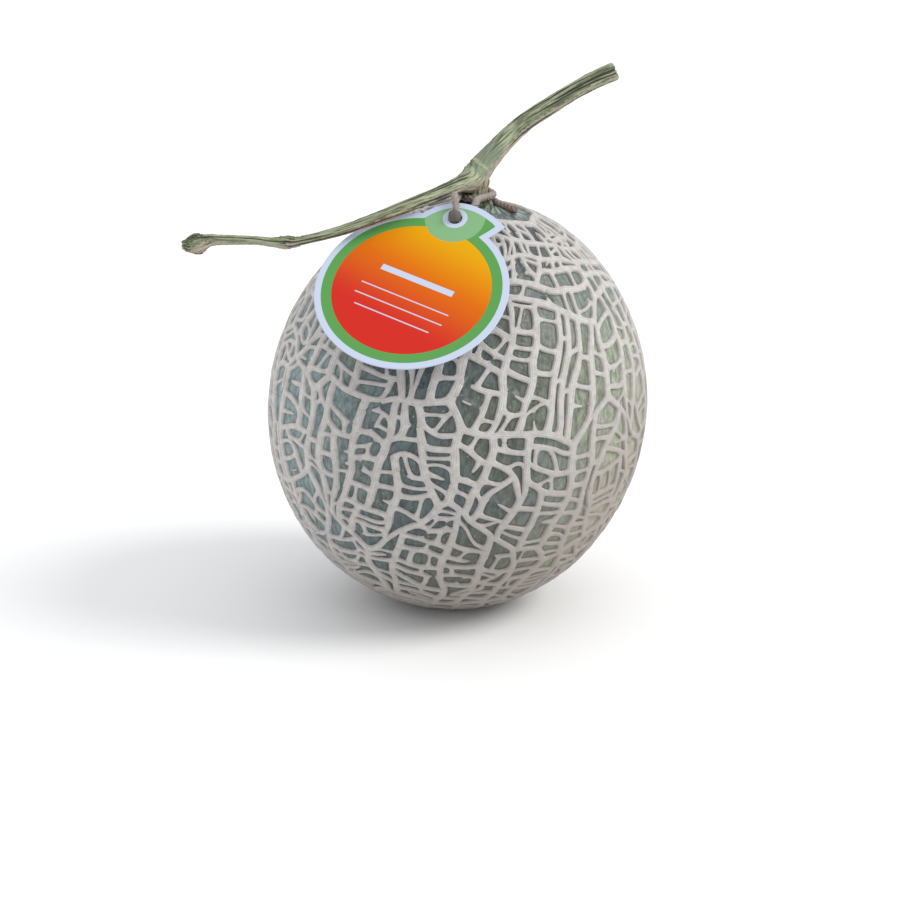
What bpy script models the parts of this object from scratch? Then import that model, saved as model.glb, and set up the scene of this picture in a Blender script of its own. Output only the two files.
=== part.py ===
"""Netted melon as picked, with its T-shaped piece of vine, and a card tag tied on with twine.

Metres, +Z up. The origin is the middle of the small flat spot that the fruit rests on.
The fruit leans to +X. The tag lies on its shoulder, towards -Y.
"""

import heapq
import math
import random

import bmesh
import bpy
from mathutils import Matrix, Vector, noise

MM = 0.001

# Driving dimensions of the fruit.
FRUIT_RADIUS = 68.5 * MM
FRUIT_HALF_LENGTH = 76.3 * MM
FRUIT_LEAN = math.radians(9.0)
FLAT_DEPTH = 0.6 * MM
STEM_END_DIP = 1.2 * MM
STEM_END_DIP_ANGLE = 0.3
LUMP_SHARE = 0.012
TAPER = 0.035

# The raised net. Cells are split in two until CELL_COUNT, so wide ridges come first and thin rungs last.
SEED = 37
FIRST_ROWS = ((1.0, 8), (1.62, 9), (2.24, 7), (2.82, 3))
CELL_COUNT = 300
CUT_TRIES = 16
CUT_DRIFT = 0.5
CUT_SCATTER = 0.17
BOW_SHARE = 0.32
BARE_PATCH_MIDDLE = Vector((0.02, -0.10, 1.0)).normalized()
BARE_PATCH_ANGLE = 0.23
BARE_PATCH_SIDES = 7
BARE_PATCH_STEP = 4.0 * MM
NET_HEIGHT = 1.3 * MM
WIDE_RIDGE_TOP = 2.0 * MM
THIN_RIDGE_TOP = 1.0 * MM
RIDGE_SLOPE = 0.6 * MM
SHORTEST_EDGE = FRUIT_RADIUS / 14
WANDER = 0.045
PUSH_SHIFTS = (Vector((3.1, 7.7, 0.4)), Vector((11.2, 2.9, 5.3)), Vector((6.6, 13.8, 9.1)))

# The vine is cut on both sides of the node that the fruit hangs from. Routes are in mm from the
# fruit's stem end: the long left arm first, up through the node, to the cut end of the right arm.
STEM_RIBS = 6
STEM_RIB_DEPTH = 0.16
STEM_STEP = 4.5 * MM
STEM_GAP = 0.3 * MM
VINE_ROUTE = (
    (-105, -38.7, -8.8, 3.3),
    (-100, -38.7, -7.4, 3.4),
    (-95, -37.7, -6.7, 1.9),
    (-82, -35.7, -7.2, 1.5),
    (-76, -34.7, -8.1, 1.7),
    (-71, -33.7, -8.4, 2.2),
    (-66, -33.2, -7.9, 1.7),
    (-51, -32.8, -4.1, 1.8),
    (-35, -30.2, 1.5, 2.1),
    (-19, -19.4, 6.2, 2.4),
    (-12, -10.8, 8.1, 2.8),
    (-6.2, -1.5, 9.6, 4.5),
    (0.0, 3.0, 16.7, 3.9),
    (9.7, 7.6, 26.1, 3.2),
    (19.9, 11, 32.7, 3.0),
    (34.7, 15, 41.1, 3.0),
    (45, 17, 45.7, 3.2),
)
STALK_ROUTE = (
    (-5.0, -0.8, 0.75, 4.4),
    (-4.9, -0.8, 1.3, 4.0),
    (-5.1, -0.7, 3.0, 3.6),
    (-5.2, -0.5, 5.0, 3.7),
    (-5.3, -0.3, 7.5, 4.6),
    (-5.8, -0.2, 10.5, 4.8),
)

# The card tag: a disc with a leaf-shaped lug, and its hole in the lug. Its frame has X along the
# text side, Y up to the hole and Z out of the printed face, with the origin in the disc's middle.
TAG_RADIUS = 33.2 * MM
TAG_THICKNESS = 0.6 * MM
TAG_GAP = 0.45 * MM
TAG_FACING_UP = math.radians(48.9)
TAG_FACING_LEFT = math.radians(7.9)
TAG_ROLL = math.radians(-23.8)
TAG_TOUCH = Vector((4.8, 16.4)) * MM
TAG_HOLE = Vector((-1.8, 33.2)) * MM
TAG_HOLE_RADIUS = 2.5 * MM
TAG_ARC_SIDES = 64
LUG_SIDES = 9
LUG_START = Vector((-13.3, 30.4)) * MM
LUG_BEND = Vector((-5.1, 47.1)) * MM
LUG_TIP = Vector((15.6, 37.3)) * MM
LUG_UNDERSIDE = Vector((14.4, 33.8)) * MM
LUG_END = Vector((12.8, 30.6)) * MM

# The twine: from its loose tail on the right shoulder it goes round the back of the stalk and forward
# under the left arm, into the tag's hole, up behind the tag, across the stalk's front and round it.
# The middle part is in the tag's frame, the others go from the fruit's stem end, all in mm.
TWINE_RADIUS = 1.3 * MM
TWINE_STEP = 2.2 * MM
TWINE_ROUND_STALK = (
    (8.7, -8.7, -1.2),
    (6.4, -6.4, -0.7),
    (3.2, -2.8, 0.2),
    (0.8, 1.2, 1.05),
    (-2.4, 4.7, 1.95),
    (-7.7, 4.2, 3.4),
    (-10.8, -1.4, 3.9),
    (-12.2, -9.6, 3.4),
    (-12.8, -17.0, 3.8),
)
TWINE_THROUGH_TAG = (
    (-6.0, 40.5, 2.7),
    (-3.2, 36.6, 2.3),
    (-1.9, 34.1, 1.3),
    (-1.5, 33.3, -0.4),
    (-0.9, 34.5, -2.1),
    (-0.2, 38.5, -2.6),
    (0.4, 43.2, -1.9),
)
TWINE_LAST_TURN = (
    (-5.4, -17.0, 3.6),
    (-3.0, -9.0, 3.4),
    (-0.2, -4.7, 3.3),
    (0.7, 0.6, 3.6),
    (-1.8, 3.9, 4.4),
    (-4.8, 4.9, 5.0),
)

LEAN = Matrix.Rotation(FRUIT_LEAN, 4, "Y")


def clear_scene():
    for obj in list(bpy.data.objects):
        bpy.data.objects.remove(obj)


def material(name, colour, roughness):
    made = bpy.data.materials.new(name)
    made.use_nodes = True
    shader = made.node_tree.nodes["Principled BSDF"]
    shader.inputs["Base Color"].default_value = (*colour, 1.0)
    shader.inputs["Roughness"].default_value = roughness
    return made


def add_object(name, mesh, finish):
    obj = bpy.data.objects.new(name, mesh)
    bpy.context.scene.collection.objects.link(obj)
    mesh.materials.clear()
    mesh.materials.append(finish)
    return obj


def mesh_from(bm, name):
    mesh = bpy.data.meshes.new(name)
    bm.to_mesh(mesh)
    bm.free()
    return mesh


def fruit_centre():
    """Places the fruit so that its lowest rind lies FLAT_DEPTH under the origin."""
    across = FRUIT_RADIUS * math.sin(FRUIT_LEAN)
    along = FRUIT_HALF_LENGTH * math.cos(FRUIT_LEAN)
    height = math.hypot(across, along)
    shift = (FRUIT_HALF_LENGTH**2 - FRUIT_RADIUS**2) * math.sin(FRUIT_LEAN) * math.cos(FRUIT_LEAN) / height
    return Vector((shift, 0.0, height - FLAT_DEPTH))


def rind_point(direction, lift):
    """A world point, lift above the rind. The direction is from the fruit's middle, stem end at +Z.

    The fruit is an egg, a little narrower towards its stem end, with slight lumps.
    """
    x, y, z = direction
    turn = math.atan2(y, x)
    lump = 1 - TAPER * z + LUMP_SHARE * (1 - z * z) * math.sin(2 * turn + 1.9 * z + 0.6)
    polar = math.acos(max(-1.0, min(1.0, z)))
    dip = STEM_END_DIP * math.exp(-((polar / STEM_END_DIP_ANGLE) ** 2))
    point = Vector((FRUIT_RADIUS * x * lump, FRUIT_RADIUS * y * lump, FRUIT_HALF_LENGTH * z - dip))
    outward = Vector((x / FRUIT_RADIUS, y / FRUIT_RADIUS, z / FRUIT_HALF_LENGTH)).normalized()
    return LEAN @ (point + outward * lift) + fruit_centre()


def direction_at(place):
    """The direction that rind_point takes to reach a world point on the rind."""
    local = LEAN.inverted() @ (place - fruit_centre())
    height = local.z / FRUIT_HALF_LENGTH
    wide = FRUIT_RADIUS * (1 - TAPER * height)
    return Vector((local.x / wide, local.y / wide, height)).normalized()


# The net is drawn on a unit sphere first, as cells that are split in two again and again.
def scattered_directions(rng):
    """The bare patch with a ring round it, and loose rows of points down to the blossom end."""
    up = Vector((0, 0, 1))
    points = [up]
    rows = ((2 * BARE_PATCH_ANGLE, BARE_PATCH_SIDES), *FIRST_ROWS)
    for angle, count in rows:
        shift = rng.uniform(0, 2 * math.pi)
        for k in range(count):
            turn = shift + 2 * math.pi * (k + rng.uniform(-0.22, 0.22)) / count
            polar = angle * rng.uniform(0.92, 1.08)
            flat = math.sin(polar)
            points.append(Vector((flat * math.cos(turn), flat * math.sin(turn), math.cos(polar))))
    tilt = up.rotation_difference(BARE_PATCH_MIDDLE)
    return [tilt @ point for point in points]


def first_cells(rng):
    """One polygon around each scattered point: the dual of the points' hull."""
    hull = bmesh.new()
    for point in scattered_directions(rng):
        hull.verts.new(point)
    bmesh.ops.convex_hull(hull, input=hull.verts)
    hull.normal_update()
    hull.verts.index_update()
    hull.faces.index_update()
    cells = bmesh.new()
    corners = [cells.verts.new(face.normal) for face in hull.faces]
    for vert in hull.verts:
        east = vert.co.orthogonal().normalized()
        north = vert.co.cross(east)
        ring = sorted(
            vert.link_faces,
            key=lambda face: math.atan2(face.normal.dot(north), face.normal.dot(east)),
        )
        cells.faces.new([corners[face.index] for face in ring])
    hull.free()
    return cells


def from_stem(centre, first, last):
    """0 up to the first angle from the stem end, 1 from the last angle on."""
    return min(1.0, max(0.0, (centre.angle(Vector((0, 0, 1))) - first) / (last - first)))


def stretch_at(centre):
    """How much longer than wide a cell is, from pole to pole: under 1 round the stem, over 1 lower down."""
    low = 2.3 + 0.8 * noise.noise(centre * 3.1)
    share = from_stem(centre, 0.75, 1.2)
    return 0.4 * (1 - share) + low * share


def crowding_at(centre):
    """Cells are smaller where this is higher: on the shoulder, and in uneven patches."""
    polar = centre.angle(Vector((0, 0, 1)))
    shoulder = 0.5 * math.exp(-(((polar - 0.45) / 0.25) ** 2))
    return 1 + shoulder + 0.45 * noise.noise(centre * 2.3 + Vector((5.1, 0.7, 2.2)))


def flattened(face, centre):
    """The cell's corners on a sheet on which a cell of the right length is as long as wide."""
    east = Vector((0, 0, 1)).cross(centre)
    east = east.normalized() if east.length > 1e-6 else Vector((1, 0, 0))
    north = centre.cross(east)
    root = math.sqrt(stretch_at(centre))
    offsets = [vert.co - centre for vert in face.verts]
    return [Vector((offset.dot(east) * root, offset.dot(north) / root)) for offset in offsets]


def roundness(corners):
    """1 for a circle, less for a long or a sharp polygon."""
    area = 0.0
    around = 0.0
    for i, corner in enumerate(corners):
        before = corners[i - 1]
        area += 0.5 * (before.x * corner.y - corner.x * before.y)
        around += (corner - before).length
    return 4 * math.pi * abs(area) / around**2


def trial_cut(corners, angle, offset):
    """Where one straight cut meets the cell's sides, and how good the two halves are."""
    across = Vector((math.cos(angle), math.sin(angle)))
    sides = [corner.dot(across) - offset for corner in corners]
    halves = ([], [])
    ends = []
    clear = 1.0
    square = 1.0
    for i, corner in enumerate(corners):
        j = (i + 1) % len(corners)
        halves[sides[i] < 0].append(corner)
        if (sides[i] < 0) == (sides[j] < 0):
            continue
        share = sides[i] / (sides[i] - sides[j])
        side = corners[j] - corner
        square = min(square, abs(side.dot(across)) / side.length)
        clear = min(clear, min(share, 1 - share) * side.length * FRUIT_RADIUS / SHORTEST_EDGE)
        meeting = corner.lerp(corners[j], share)
        for half in halves:
            half.append(meeting)
        ends.append((i, share))
    if len(ends) != 2:
        return 0.0, ends
    return clear * square**1.5 * min(roundness(half) for half in halves), ends


def cut_angle(centre, rng):
    """Ridges run down the fruit or across it, with a slow drift over the fruit and some scatter."""
    drift = CUT_DRIFT * noise.noise(centre * 2.4 + Vector((3.0, 8.0, 1.0)))
    return rng.choice((0.0, math.pi / 2)) + drift + rng.gauss(0.0, CUT_SCATTER)


def split_cell(cells, face, rng, order, rank):
    """Cuts a cell in two by the best of a few random cuts, whose bowed ridge gets the rank."""
    centre = face.calc_center_median().normalized()
    corners = flattened(face, centre)
    reach = max(corner.length for corner in corners)
    best = (0.0, [])
    for _ in range(CUT_TRIES):
        trial = trial_cut(corners, cut_angle(centre, rng), rng.uniform(-0.3, 0.3) * reach)
        best = max(best, trial, key=lambda cut: cut[0])
    if not best[1]:
        return [face]
    verts = list(face.verts)
    ends = []
    for i, share in best[1]:
        edge = cells.edges.get((verts[i], verts[(i + 1) % len(verts)]))
        made = bmesh.utils.edge_split(edge, verts[i], share)[1]
        made.co.normalize()
        ends.append(made)
    first, last = ends[0].co, ends[1].co
    sideways = (last - first).cross(centre) * rng.uniform(-1, 1) * BOW_SHARE * best[0]
    middle = ((first + last) / 2 + sideways).normalized()
    half = bmesh.utils.face_split(face, ends[0], ends[1], coords=[middle])[0]
    for edge in set(face.edges) & set(half.edges):
        edge[order] = rank
    return [face, half]


def straighten_ridges(cells, order, factor):
    """Draws each corner towards its two neighbours on the older ridge, so that ridges run on in curves."""
    moves = {}
    for vert in cells.verts:
        edges = sorted(vert.link_edges, key=lambda edge: edge[order])
        if len(edges) > 2 and edges[1][order] < edges[2][order]:
            edges = edges[:2]
        target = sum((edge.other_vert(vert).co for edge in edges), Vector()) / len(edges)
        moves[vert] = vert.co.lerp(target, factor)
    for vert, place in moves.items():
        vert.co = place.normalized()


def square_rungs(cells, order, factor):
    """Slides the foot of each rung along the ridge it stands on, so that the two meet square."""
    moves = {}
    for vert in cells.verts:
        edges = sorted(vert.link_edges, key=lambda edge: edge[order])
        if len(edges) != 3 or edges[1][order] >= edges[2][order]:
            continue
        rung = edges[2].other_vert(vert).co - vert.co
        for edge in edges[:2]:
            along = edge.other_vert(vert).co - vert.co
            share = rung.dot(along) / along.length_squared
            if share > 0:
                moves[vert] = vert.co + along * min(factor * share, 0.35)
    for vert, place in moves.items():
        vert.co = place.normalized()


def slow_push(place):
    """A push that changes slowly from place to place, the same one in every run."""
    return Vector([noise.noise(place + shift) for shift in PUSH_SHIFTS])


def net_cells():
    """The net on the unit sphere. The order layer is 0 on the first ridges and 1 on the last."""
    rng = random.Random(SEED)
    cells = first_cells(rng)
    order = cells.edges.layers.float.new("order")
    waiting = []
    serial = 0
    for face in cells.faces:
        centre = face.calc_center_median().normalized()
        if centre.z < math.cos(BARE_PATCH_ANGLE / 2):
            heapq.heappush(waiting, (-face.calc_area() * crowding_at(centre), serial, face))
            serial += 1
    while len(cells.faces) < CELL_COUNT:
        face = heapq.heappop(waiting)[2]
        rank = len(cells.faces) / CELL_COUNT
        for half in split_cell(cells, face, rng, order, rank):
            weight = crowding_at(half.calc_center_median().normalized()) * rng.uniform(0.75, 1.33)
            heapq.heappush(waiting, (-half.calc_area() * weight, serial, half))
            serial += 1
    for _ in range(2):
        straighten_ridges(cells, order, 0.25)
        square_rungs(cells, order, 0.5)
    for vert in cells.verts:
        pull = slow_push(vert.co * 4.0) + 0.4 * slow_push(vert.co * 9.0)
        vert.co = (vert.co + pull * WANDER).normalized()
    return cells, order


def outer_partner(vert, face):
    """The corner of the outer loop that an inset joined to this inner corner."""
    for edge in vert.link_edges:
        if edge not in face.edges:
            return edge.other_vert(vert)
    return vert


def keep_uncrossed(corners, steps, middle, normal):
    """Turns steps towards the cell's middle where the inner loop would otherwise cross itself."""
    for _ in corners:
        crossed = set()
        for i in range(len(corners)):
            j = (i + 1) % len(corners)
            here = corners[i] + steps[i]
            there = corners[j] + steps[j]
            area = (here - middle).cross(there - middle).dot(normal)
            whole = (corners[i] - middle).cross(corners[j] - middle).dot(normal)
            if area < 0.1 * whole or (there - here).dot(corners[j] - corners[i]) <= 0:
                crossed.update((i, j))
        if not crossed:
            return
        for i in crossed:
            steps[i] = (middle - corners[i]) * 0.4


def step_inwards(cells, faces, width_of, drop):
    """Insets each face, moves each new corner in by its own width, and lowers it by drop."""
    unit = 0.1 * MM
    bmesh.ops.inset_individual(cells, faces=faces, thickness=unit, depth=0.0, use_even_offset=True)
    for face in faces:
        middle = face.calc_center_median()
        verts = list(face.verts)
        corners = [outer_partner(vert, face).co.copy() for vert in verts]
        steps = []
        for vert, corner, width in zip(verts, corners, width_of[face]):
            step = (vert.co - corner) * (width / unit)
            room = (middle - corner).length * 0.55
            steps.append(step * min(1.0, room / step.length))
        keep_uncrossed(corners, steps, middle, face.normal)
        down = face.normal * drop
        for vert, corner, step in zip(verts, corners, steps):
            vert.co = corner + step - down


def ridge_half_widths(face, order):
    """Half the ridge's flat top at each corner: the mean of the two ridges that meet there."""
    widths = [WIDE_RIDGE_TOP + (THIN_RIDGE_TOP - WIDE_RIDGE_TOP) * loop.edge[order] for loop in face.loops]
    return [(widths[i] + widths[i - 1]) / 4 for i in range(len(widths))]


def dome_bare_patch(cells, patch):
    """Rounds the floor of the one big cell round the stem, which would be flat."""
    bmesh.ops.inset_individual(cells, faces=[patch], thickness=BARE_PATCH_STEP)
    for vert in patch.verts:
        vert.co = floor_below(vert.co)
    made = bmesh.ops.poke(cells, faces=[patch])
    for vert in made["verts"]:
        vert.co = floor_below(vert.co)


def floor_below(point):
    """The rind's floor nearest to a world point."""
    return rind_point(direction_at(point), 0.0)


def build_fruit():
    cells, order = net_cells()
    faces = list(cells.faces)
    patch = max(faces, key=lambda face: face.calc_center_median().z)
    for vert in cells.verts:
        vert.co = rind_point(vert.co, NET_HEIGHT)
    cells.normal_update()
    step_inwards(cells, faces, {face: ridge_half_widths(face, order) for face in faces}, 0.0)
    step_inwards(cells, faces, {face: [RIDGE_SLOPE] * len(face.verts) for face in faces}, NET_HEIGHT)
    dome_bare_patch(cells, patch)
    for vert in cells.verts:
        vert.co.z = max(vert.co.z, 0.0)
    bmesh.ops.triangulate(cells, faces=cells.faces)
    mesh = mesh_from(cells, "fruit")
    return add_object("fruit", mesh, material("netted_rind", (0.46, 0.49, 0.44), 0.6))


def smooth_route(points, step):
    """Rows about a step apart on a smooth curve through the given rows of x, y, z and radius."""
    made = []
    for i in range(len(points) - 1):
        before = points[max(i - 1, 0)]
        start = points[i]
        end = points[i + 1]
        after = points[min(i + 2, len(points) - 1)]
        span = math.dist(start[:3], end[:3])
        count = max(1, round(span / step))
        for k in range(count):
            t = k / count
            row = []
            for a, b, c, d in zip(before, start, end, after):
                square = 2 * a - 5 * b + 4 * c - d
                cube = 3 * b - 3 * c + d - a
                row.append(0.5 * (2 * b + (c - a) * t + square * t**2 + cube * t**3))
            made.append(row)
    made.append(list(points[-1]))
    return made


def ribbed_outline():
    """The vine's cross-section, with a radius of one metre, for a curve's bevel."""
    curve = bpy.data.curves.new("vine_outline", "CURVE")
    curve.dimensions = "2D"
    spline = curve.splines.new("POLY")
    count = 2 * STEM_RIBS
    spline.points.add(count - 1)
    for i in range(count):
        radius = 1.0 if i % 2 else 1.0 - STEM_RIB_DEPTH
        turn = 2 * math.pi * i / count
        spline.points[i].co = (radius * math.cos(turn), radius * math.sin(turn), 0, 1)
    spline.use_cyclic_u = True
    outline = bpy.data.objects.new("vine_outline", curve)
    bpy.context.scene.collection.objects.link(outline)
    return outline


def tube_mesh(name, route, outline=None):
    """A capped tube along a route of (x, y, z, radius), as a mesh."""
    curve = bpy.data.curves.new(name, "CURVE")
    curve.dimensions = "3D"
    curve.use_fill_caps = True
    if outline:
        curve.bevel_mode = "OBJECT"
        curve.bevel_object = outline
    else:
        curve.bevel_depth = 1.0
        curve.bevel_resolution = 2
    spline = curve.splines.new("POLY")
    spline.points.add(len(route) - 1)
    for point, (x, y, z, radius) in zip(spline.points, route):
        point.co = (x, y, z, 1)
        point.radius = radius
    guide = bpy.data.objects.new(name, curve)
    bpy.context.scene.collection.objects.link(guide)
    mesh = bpy.data.meshes.new_from_object(guide.evaluated_get(bpy.context.evaluated_depsgraph_get()))
    bpy.data.objects.remove(guide)
    bm = bmesh.new()
    bm.from_mesh(mesh)
    bmesh.ops.remove_doubles(bm, verts=bm.verts, dist=0.001 * MM)
    bmesh.ops.recalc_face_normals(bm, faces=bm.faces)
    bm.to_mesh(mesh)
    bm.free()
    return mesh


def from_stem_end(route):
    """Rows of (x, y, z, radius) in mm from the fruit's stem end, as metres in the part's frame."""
    top = rind_point((0, 0, 1), 0.0)
    return [(top.x + x * MM, top.y + y * MM, top.z + z * MM, radius * MM) for x, y, z, radius in route]


def join_by_union(obj, cutter):
    cutter.hide_render = True
    cutter.display_type = "WIRE"
    union = obj.modifiers.new("join", "BOOLEAN")
    union.operation = "UNION"
    union.object = cutter


def build_stem():
    green = material("vine", (0.24, 0.25, 0.14), 0.7)
    outline = ribbed_outline()
    vine_route = smooth_route(from_stem_end(VINE_ROUTE), STEM_STEP)
    vine = add_object("stem", tube_mesh("vine", vine_route, outline), green)
    stalk_route = smooth_route(from_stem_end(STALK_ROUTE), STEM_STEP / 2)
    stalk_route = [(x, y, z + STEM_GAP, radius) for x, y, z, radius in stalk_route]
    stalk = add_object("stalk_to_join", tube_mesh("stalk", stalk_route, outline), green)
    join_by_union(vine, stalk)
    bpy.data.objects.remove(outline)
    return vine


def tag_frame():
    """Places the tag's frame so that its back lies on the net where the rind faces the same way."""
    out = Vector((
        -math.sin(TAG_FACING_LEFT) * math.cos(TAG_FACING_UP),
        -math.cos(TAG_FACING_LEFT) * math.cos(TAG_FACING_UP),
        math.sin(TAG_FACING_UP),
    ))
    level = Vector((math.cos(TAG_FACING_LEFT), -math.sin(TAG_FACING_LEFT), 0))
    along = level * math.cos(TAG_ROLL) + out.cross(level) * math.sin(TAG_ROLL)
    up = out.cross(along)
    local = LEAN.inverted() @ out
    radii = Vector((FRUIT_RADIUS, FRUIT_RADIUS, FRUIT_HALF_LENGTH))
    direction = (local * radii).normalized()
    lift = NET_HEIGHT + TAG_GAP + TAG_THICKNESS / 2
    origin = rind_point(direction, 0.0) + out * lift - along * TAG_TOUCH.x - up * TAG_TOUCH.y
    frame = Matrix((along, up, out)).transposed().to_4x4()
    frame.translation = origin
    return frame


def bent_line(start, bend, end, sides):
    """Points on a curve that starts towards bend and ends coming from it, without the last one."""
    points = []
    for k in range(sides):
        t = k / sides
        points.append(start * (1 - t) ** 2 + bend * 2 * t * (1 - t) + end * t**2)
    return points


def circle_points(centre, radius, start, turn, sides):
    """Points on an arc, without the last one."""
    points = []
    for k in range(sides):
        angle = start + turn * k / sides
        points.append(centre + Vector((math.cos(angle), math.sin(angle))) * radius)
    return points


def add_outline(curve, points):
    spline = curve.splines.new("POLY")
    spline.points.add(len(points) - 1)
    for made, point in zip(spline.points, points):
        made.co = (point.x, point.y, 0, 1)
    spline.use_cyclic_u = True


def build_tag():
    first = math.atan2(LUG_START.y, LUG_START.x)
    last = math.atan2(LUG_END.y, LUG_END.x)
    disc = circle_points(Vector((0, 0)), TAG_RADIUS, first, 2 * math.pi - (first - last), TAG_ARC_SIDES)
    under = bent_line(LUG_END, LUG_UNDERSIDE, LUG_TIP, LUG_SIDES // 2)
    over = bent_line(LUG_TIP, LUG_BEND, LUG_START, LUG_SIDES)
    curve = bpy.data.curves.new("tag", "CURVE")
    curve.dimensions = "2D"
    curve.fill_mode = "BOTH"
    curve.extrude = TAG_THICKNESS / 2
    add_outline(curve, disc + under + over)
    add_outline(curve, circle_points(TAG_HOLE, TAG_HOLE_RADIUS, 0, 2 * math.pi, 16))
    guide = bpy.data.objects.new("tag_outline", curve)
    bpy.context.scene.collection.objects.link(guide)
    mesh = bpy.data.meshes.new_from_object(guide.evaluated_get(bpy.context.evaluated_depsgraph_get()))
    bpy.data.objects.remove(guide)
    bm = bmesh.new()
    bm.from_mesh(mesh)
    bmesh.ops.remove_doubles(bm, verts=bm.verts, dist=0.001 * MM)
    bmesh.ops.recalc_face_normals(bm, faces=bm.faces)
    bm.transform(tag_frame())
    bm.to_mesh(mesh)
    bm.free()
    return add_object("tag", mesh, material("printed_card", (0.8, 0.12, 0.03), 0.35))


def build_twine():
    top = rind_point((0, 0, 1), 0.0)
    frame = tag_frame()
    first = [top + Vector(point) * MM for point in TWINE_ROUND_STALK]
    middle = [frame @ (Vector(point) * MM) for point in TWINE_THROUGH_TAG]
    last = [top + Vector(point) * MM for point in TWINE_LAST_TURN]
    route = [(*point, TWINE_RADIUS) for point in first + middle + last]
    mesh = tube_mesh("twine", smooth_route(route, TWINE_STEP))
    return add_object("twine", mesh, material("twine", (0.38, 0.34, 0.31), 0.9))


def main():
    clear_scene()
    build_fruit()
    build_stem()
    build_tag()
    build_twine()


main()
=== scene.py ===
import heapq
import math
import random

import bmesh
import bpy
import numpy as np
from mathutils import Matrix, Vector, noise


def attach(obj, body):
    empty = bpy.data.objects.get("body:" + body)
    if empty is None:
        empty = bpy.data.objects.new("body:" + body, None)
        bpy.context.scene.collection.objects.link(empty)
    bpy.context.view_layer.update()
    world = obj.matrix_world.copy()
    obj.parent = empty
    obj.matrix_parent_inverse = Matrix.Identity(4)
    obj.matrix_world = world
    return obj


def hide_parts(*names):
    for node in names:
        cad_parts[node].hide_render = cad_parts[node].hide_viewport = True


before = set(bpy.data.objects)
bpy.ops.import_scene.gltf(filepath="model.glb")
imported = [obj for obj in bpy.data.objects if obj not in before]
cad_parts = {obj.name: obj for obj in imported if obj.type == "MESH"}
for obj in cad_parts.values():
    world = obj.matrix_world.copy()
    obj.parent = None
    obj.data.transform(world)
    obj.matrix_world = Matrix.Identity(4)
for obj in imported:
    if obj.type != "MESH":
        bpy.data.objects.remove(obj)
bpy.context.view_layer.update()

# The melon itself, grown as one piece: a thin blue-green rind under a raised, dry, corky net. The net
# grew as the rind split, so the first splits are the wide ridges and the last are the thin rungs. It
# repeats the solid's own net, then splits the cells on to their real size.
MM = 0.001
FRUIT_RADIUS = 68.5 * MM
FRUIT_HALF_LENGTH = 76.3 * MM
FRUIT_LEAN = math.radians(9.0)
FLAT_DEPTH = 0.6 * MM
STEM_END_DIP = 1.2 * MM
STEM_END_DIP_ANGLE = 0.3
LUMP_SHARE = 0.012
TAPER = 0.035
SEED = 37
FIRST_ROWS = ((1.0, 8), (1.62, 9), (2.24, 7), (2.82, 3))
COARSE_CELLS = 300
FINE_CELLS = 1900
NARROWEST_CELL = 1.95 * MM
CUT_TRIES = 16
CUT_DRIFT = 0.5
CUT_SCATTER = 0.17
FINE_SCATTER = 0.4
BOW_SHARE = 0.32
BARE_PATCH_MIDDLE = Vector((0.02, -0.10, 1.0)).normalized()
BARE_PATCH_ANGLE = 0.23
BARE_PATCH_SIDES = 7
SLATE_FADES = (0.22, 0.50)
COARSE_EDGE = FRUIT_RADIUS / 14
FINE_EDGE = FRUIT_RADIUS / 25.926
WANDER = 0.045
WANDER_WAVES = ((1.0, 4.0), (0.4, 9.0))
BEND = 0.045
BEND_WAVES = ((0.6, 5.5), (0.5, 11.0), (0.2, 24.0))
PUSH_SHIFTS = (Vector((3.1, 7.7, 0.4)), Vector((11.2, 2.9, 5.3)), Vector((6.6, 13.8, 9.1)))
RIDGE_STEP = 1.9 * MM
WIDEST_RIDGE = 3.2 * MM
THINNEST_RIDGE = 1.2 * MM
HIGHEST_RIDGE = 1.05 * MM
LOWEST_RIDGE = 0.65 * MM
THINNING = 1.15
FADED_SHARE = 0.12
FADED_FROM = 1.2
FADED_REACH = (0.35, 0.7)

LEAN = Matrix.Rotation(FRUIT_LEAN, 4, "Y")


def fruit_centre():
    """Places the fruit so that its lowest rind lies FLAT_DEPTH under the origin."""
    across = FRUIT_RADIUS * math.sin(FRUIT_LEAN)
    along = FRUIT_HALF_LENGTH * math.cos(FRUIT_LEAN)
    height = math.hypot(across, along)
    shift = (FRUIT_HALF_LENGTH**2 - FRUIT_RADIUS**2) * math.sin(FRUIT_LEAN) * math.cos(FRUIT_LEAN) / height
    return Vector((shift, 0.0, height - FLAT_DEPTH))


def rind_point(direction, lift):
    """A world point, lift above the rind. The direction is from the fruit's middle, stem end at +Z.

    The fruit is an egg, a little narrower towards its stem end, with slight lumps.
    """
    x, y, z = direction
    turn = math.atan2(y, x)
    lump = 1 - TAPER * z + LUMP_SHARE * (1 - z * z) * math.sin(2 * turn + 1.9 * z + 0.6)
    polar = math.acos(max(-1.0, min(1.0, z)))
    dip = STEM_END_DIP * math.exp(-((polar / STEM_END_DIP_ANGLE) ** 2))
    point = Vector((FRUIT_RADIUS * x * lump, FRUIT_RADIUS * y * lump, FRUIT_HALF_LENGTH * z - dip))
    outward = Vector((x / FRUIT_RADIUS, y / FRUIT_RADIUS, z / FRUIT_HALF_LENGTH)).normalized()
    return LEAN @ (point + outward * lift) + fruit_centre()


def direction_at(place):
    """The direction that rind_point takes to reach a world point on the rind."""
    local = LEAN.inverted() @ (place - fruit_centre())
    height = local.z / FRUIT_HALF_LENGTH
    wide = FRUIT_RADIUS * (1 - TAPER * height)
    return Vector((local.x / wide, local.y / wide, height)).normalized()


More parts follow.
